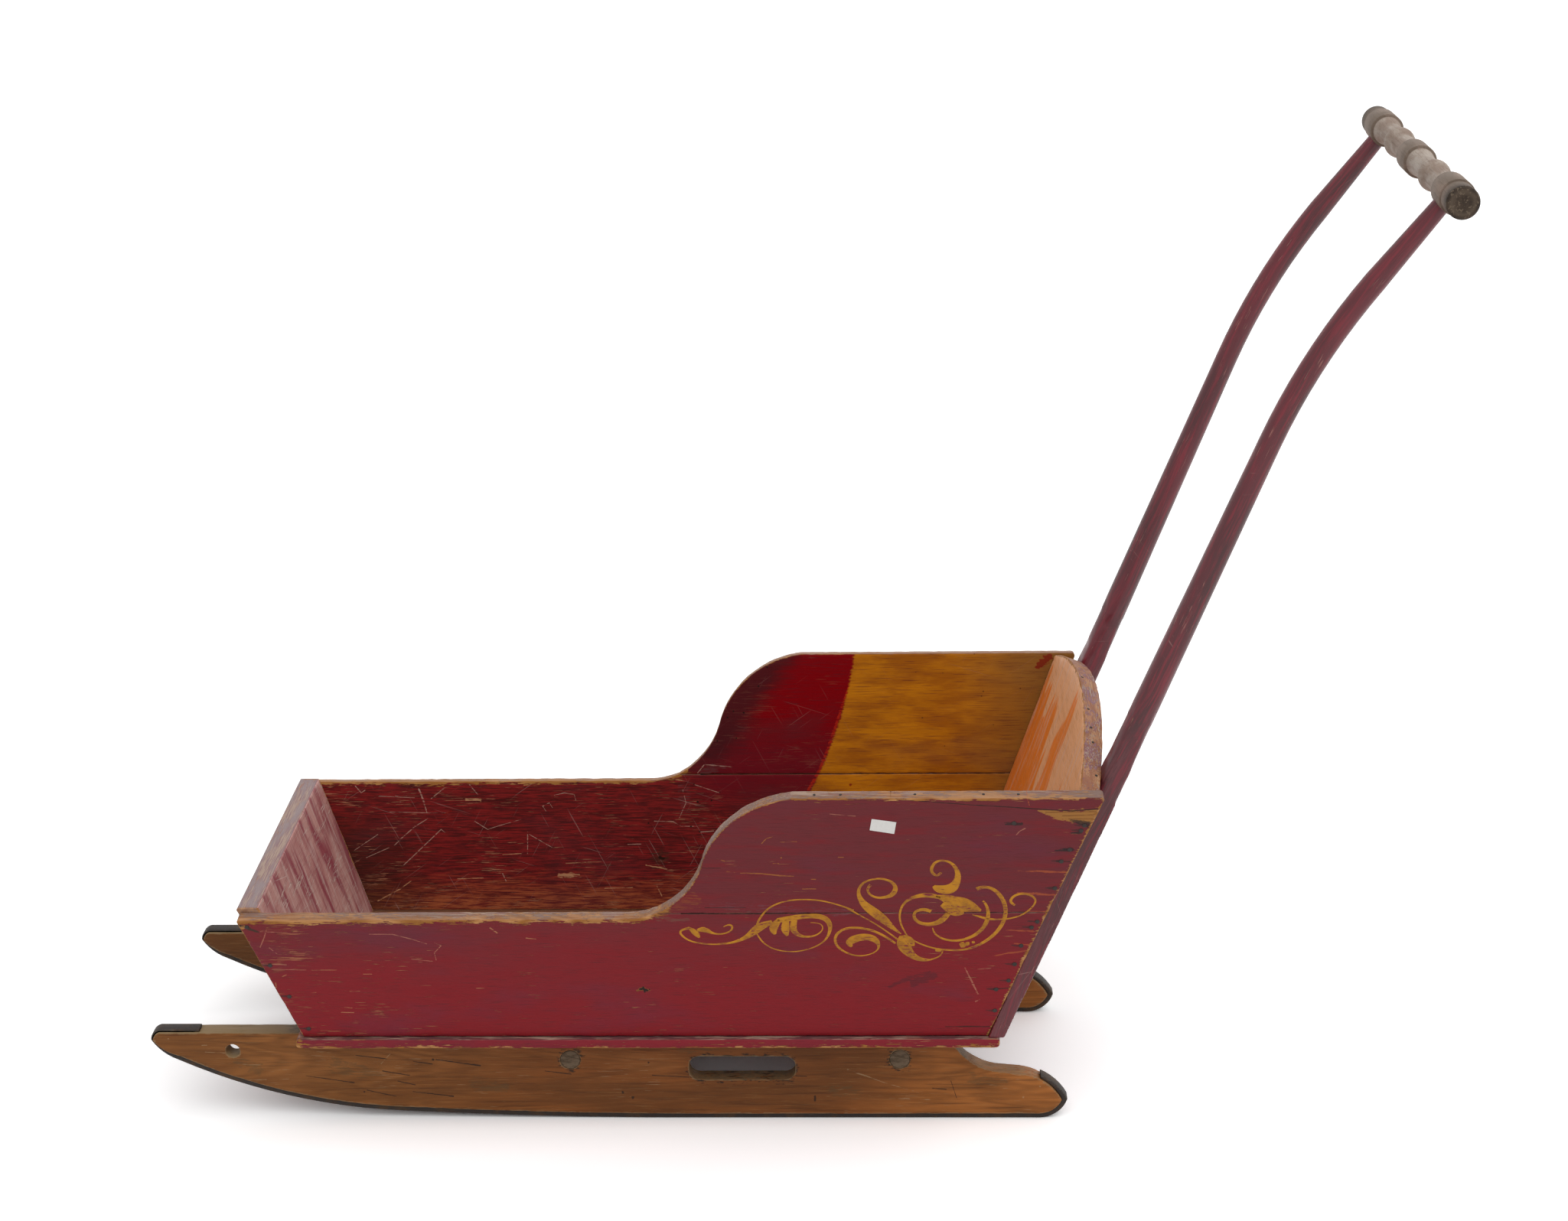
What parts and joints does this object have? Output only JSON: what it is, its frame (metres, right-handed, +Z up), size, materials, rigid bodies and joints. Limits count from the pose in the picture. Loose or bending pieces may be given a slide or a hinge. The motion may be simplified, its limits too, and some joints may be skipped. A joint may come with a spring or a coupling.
{
  "type": "push sleigh",
  "caption": "Child's wooden push sleigh: a splayed red box on two iron-shod runners, with a bent push handle.",
  "frame": {"origin": "on the ground under the middle of the sleigh's overall length and width", "axes": "-X is the direction of travel, +X points to the push handle, -Y is the rider's left, +Z is up"},
  "size_m": [1.2512, 0.426, 0.9584],
  "materials": {
    "red_paint": "worn crimson paint on wood",
    "maroon_paint": "glossy dark maroon paint on wood",
    "varnished_wood": "old brown varnish",
    "bare_wood": "weathered bare wood",
    "iron": "dark worn wrought iron"
  },
  "bodies": {
    "root": {"runner_left": "varnished_wood", "shoe_left": "iron", "side_lower_left": "red_paint", "side_upper_left": "red_paint", "handle_left": "maroon_paint", "runner_right": "varnished_wood", "shoe_right": "iron", "side_lower_right": "red_paint", "side_upper_right": "red_paint", "handle_right": "maroon_paint", "rung_front": "varnished_wood", "rung_rear": "varnished_wood", "floor_board": "red_paint", "front_panel": "red_paint", "back_panel": "red_paint", "grip": "bare_wood"}
  },
  "joints": []
}
